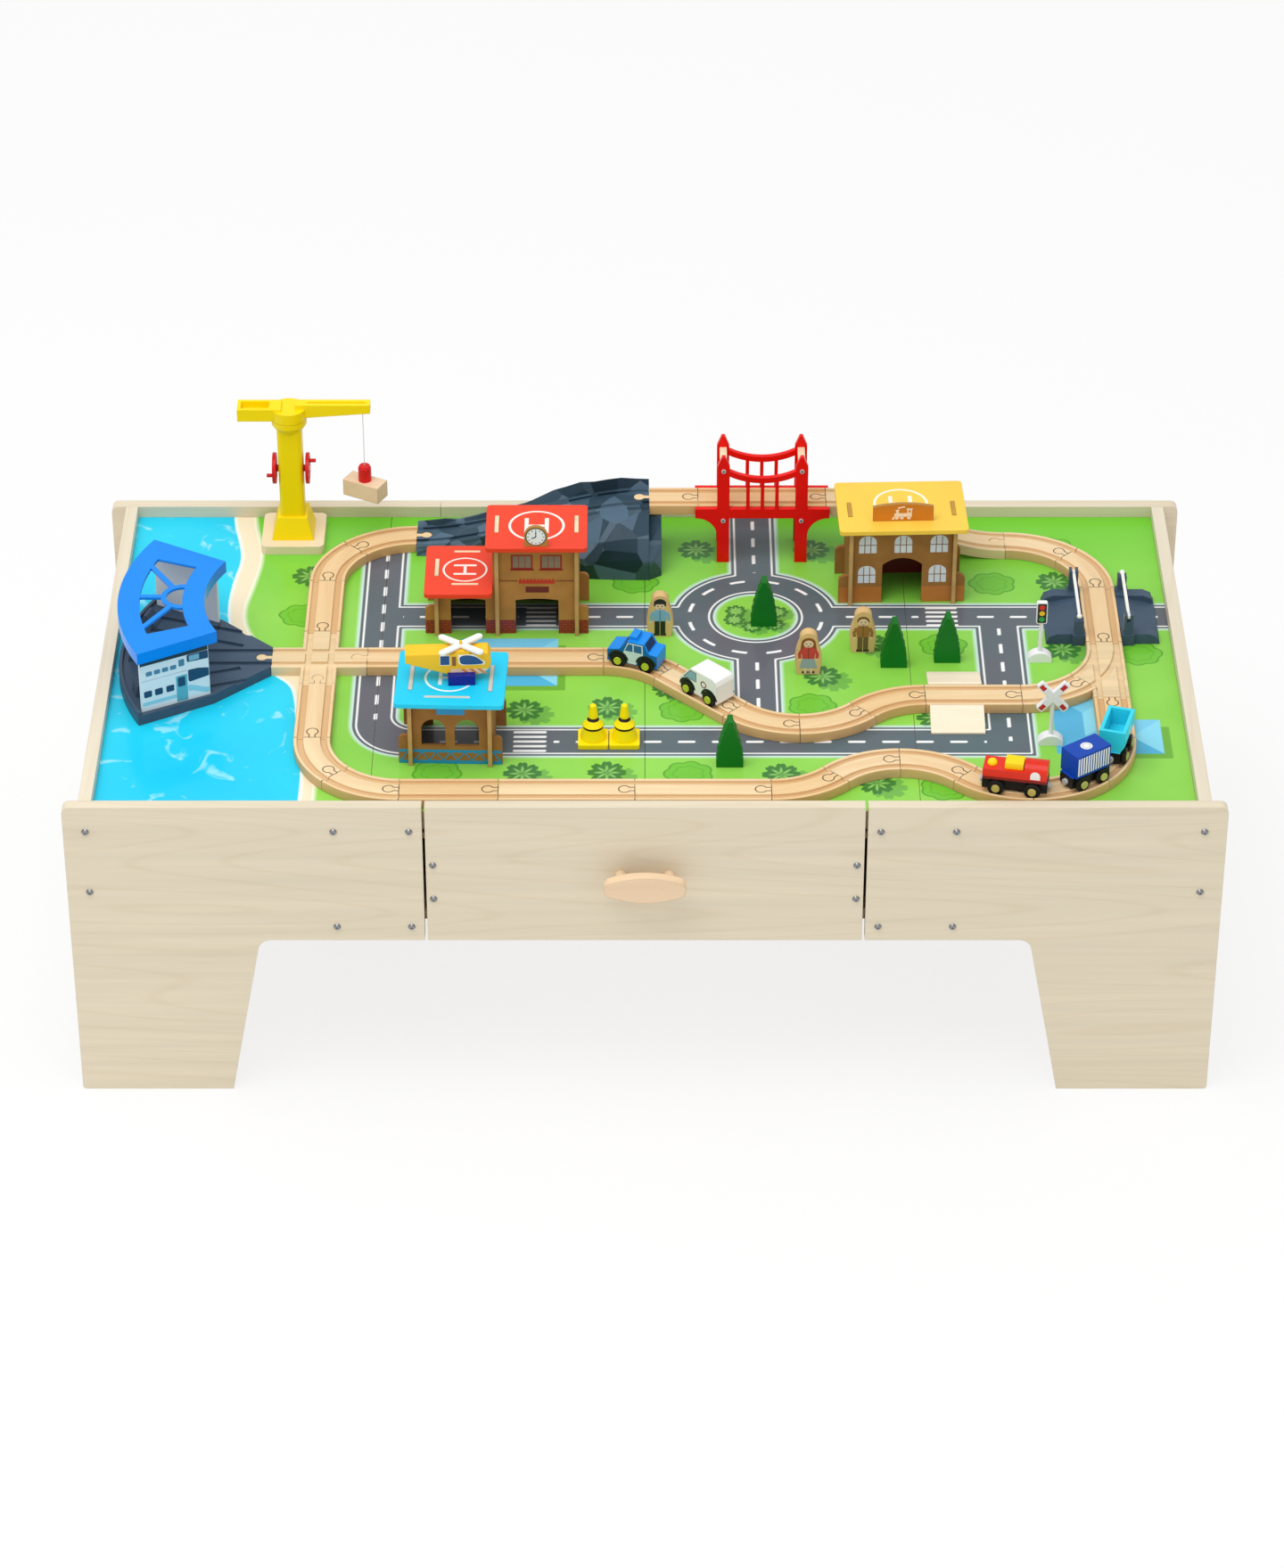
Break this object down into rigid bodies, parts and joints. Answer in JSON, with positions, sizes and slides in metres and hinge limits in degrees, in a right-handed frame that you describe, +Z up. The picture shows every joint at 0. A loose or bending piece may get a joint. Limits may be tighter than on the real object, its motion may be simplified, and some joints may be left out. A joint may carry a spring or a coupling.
{
  "type": "train table with wooden railway play set",
  "caption": "Low wooden play table with a raised rim and a drawer, carrying a grooved toy railway with bridge, mountain, crane, shed, buildings and vehicles.",
  "frame": {"origin": "on the floor under the middle of the whole box, handle included", "axes": "+X along the table, +Y from the drawer front to the back, +Z up"},
  "size_m": [1.2402, 0.6582, 0.5444],
  "materials": {
    "pale_panel": "satin",
    "bare_wood": "satin",
    "printed_board": "satin",
    "building_board": "satin",
    "red_roof": "satin",
    "yellow_roof": "satin",
    "blue_roof": "satin",
    "red_paint": "gloss",
    "green_paint": "satin",
    "slate_plastic": "satin",
    "white_plastic": "gloss",
    "shed_blue": "gloss",
    "crane_yellow": "gloss",
    "red_plastic": "gloss",
    "loco_red": "gloss",
    "navy_paint": "gloss",
    "cyan_paint": "gloss",
    "patrol_blue": "gloss",
    "white_paint": "gloss",
    "wheel_black": "satin",
    "screw_steel": "satin",
    "cord_thread": "matte"
  },
  "bodies": {
    "table": {"front_leg_panels": "pale_panel", "back_panels": "pale_panel", "end_walls": "pale_panel", "inner_panels": "pale_panel", "board_battens": "bare_wood", "drawer_runners": "bare_wood", "play_boards": "printed_board", "panel_screws": "screw_steel", "curved_tracks": "bare_wood", "straight_tracks": "bare_wood", "junction_tracks": "bare_wood", "ascending_track": "bare_wood", "road_ramps": "bare_wood", "mountain": "slate_plastic", "bridge_sides": "red_paint", "bridge_bars": "bare_wood", "castle_walls": "building_board", "castle_roofs": "red_roof", "station_walls": "building_board", "station_roof": "yellow_roof", "roof_signs": "building_board", "kiosk_walls": "building_board", "kiosk_roof": "blue_roof", "helicopter_body": "yellow_roof", "shed_base": "slate_plastic", "shed_walls": "white_plastic", "shed_roof": "shed_blue", "crane_tower": "crane_yellow", "gate_ramps": "slate_plastic", "road_signs": "white_paint", "trees": "green_paint", "figures": "bare_wood", "locomotive": "loco_red", "box_wagon": "navy_paint", "tipper_wagon": "cyan_paint", "patrol_car": "patrol_blue", "van": "white_paint"},
    "drawer": {"drawer_front": "pale_panel", "drawer_box": "pale_panel", "drawer_bottom": "pale_panel", "drawer_handle": "bare_wood", "drawer_screws": "screw_steel"},
    "jib": {"crane_jib": "crane_yellow"},
    "winch": {"crane_winch": "red_plastic"},
    "load": {"hoist_cord": "cord_thread", "crane_hook": "red_plastic", "cargo_block": "bare_wood"},
    "rotor": {"helicopter_rotor": "white_paint"},
    "left_gate": {"gate_arm_left": "white_plastic"},
    "right_gate": {"gate_arm_right": "white_plastic"},
    "loco_front_axle": {"loco_front_wheels": "wheel_black"},
    "loco_rear_axle": {"loco_rear_wheels": "wheel_black"},
    "box_front_axle": {"box_front_wheels": "wheel_black"},
    "box_rear_axle": {"box_rear_wheels": "wheel_black"},
    "tipper_front_axle": {"tipper_front_wheels": "wheel_black"},
    "tipper_rear_axle": {"tipper_rear_wheels": "wheel_black"},
    "patrol_front_axle": {"patrol_front_wheels": "wheel_black"},
    "patrol_rear_axle": {"patrol_rear_wheels": "wheel_black"},
    "van_front_axle": {"van_front_wheels": "wheel_black"},
    "van_rear_axle": {"van_rear_wheels": "wheel_black"}
  },
  "joints": [
    {"name": "drawer_slide", "type": "slide", "parent": "table", "child": "drawer", "axis": [0, -1, 0], "range_m": [0, 0.33]},
    {"name": "jib_swing", "type": "hinge", "parent": "table", "child": "jib", "pos_m": [-0.40505, 0.2674, 0.525], "axis": [0, 0, 1], "continuous": true},
    {"name": "winch_turn", "type": "hinge", "parent": "table", "child": "winch", "pos_m": [-0.40505, 0.2674, 0.458], "axis": [1, 0, 0], "range_deg": [-515, 859]},
    {"name": "hook_hoist", "type": "slide", "parent": "jib", "child": "load", "axis": [0, 0, 1], "range_m": [-0.036, 0.06], "deforming": ["hoist_cord"]},
    {"name": "rotor_spin", "type": "hinge", "parent": "table", "child": "rotor", "pos_m": [-0.19757, -0.15187, 0.487], "axis": [0, 0, 1], "continuous": true},
    {"name": "left_gate_lift", "type": "hinge", "parent": "table", "child": "left_gate", "pos_m": [0.48505, 0.13595, 0.3995], "axis": [-1, 0, 0], "range_deg": [0, 80]},
    {"name": "right_gate_lift", "type": "hinge", "parent": "table", "child": "right_gate", "pos_m": [0.54005, 0.04395, 0.3995], "axis": [1, 0, 0], "range_deg": [0, 80]},
    {"name": "loco_front_roll", "type": "hinge", "parent": "table", "child": "loco_front_axle", "pos_m": [0.37649, -0.25316, 0.3822], "axis": [-0.1908, -0.9816, 0], "continuous": true},
    {"name": "loco_rear_roll", "type": "hinge", "parent": "table", "child": "loco_rear_axle", "pos_m": [0.41477, -0.2606, 0.3822], "axis": [-0.1908, -0.9816, 0], "continuous": true},
    {"name": "box_front_roll", "type": "hinge", "parent": "table", "child": "box_front_axle", "pos_m": [0.45972, -0.24937, 0.3822], "axis": [0.5807, -0.8141, 0], "continuous": true},
    {"name": "box_rear_roll", "type": "hinge", "parent": "table", "child": "box_rear_axle", "pos_m": [0.4817, -0.23369, 0.3822], "axis": [0.5807, -0.8141, 0], "continuous": true},
    {"name": "tipper_front_roll", "type": "hinge", "parent": "table", "child": "tipper_front_axle", "pos_m": [0.50377, -0.20276, 0.3822], "axis": [0.9588, -0.284, 0], "continuous": true},
    {"name": "tipper_rear_roll", "type": "hinge", "parent": "table", "child": "tipper_rear_axle", "pos_m": [0.51144, -0.17687, 0.3822], "axis": [0.9588, -0.284, 0], "continuous": true},
    {"name": "patrol_front_roll", "type": "hinge", "parent": "table", "child": "patrol_front_axle", "pos_m": [-0.02442, -0.00538, 0.3822], "axis": [-0.3746, -0.9272, 0], "continuous": true},
    {"name": "patrol_rear_roll", "type": "hinge", "parent": "table", "child": "patrol_rear_axle", "pos_m": [0.00617, -0.01774, 0.3822], "axis": [-0.3746, -0.9272, 0], "continuous": true},
    {"name": "van_front_roll", "type": "hinge", "parent": "table", "child": "van_front_axle", "pos_m": [0.05632, -0.06412, 0.3822], "axis": [-0.7071, -0.7071, 0], "continuous": true},
    {"name": "van_rear_roll", "type": "hinge", "parent": "table", "child": "van_rear_axle", "pos_m": [0.07966, -0.08746, 0.3822], "axis": [-0.7071, -0.7071, 0], "continuous": true}
  ],
  "couplings": [
    {"joint": "hook_hoist", "follows": "winch_turn", "m_per_rad": 0.004}
  ]
}
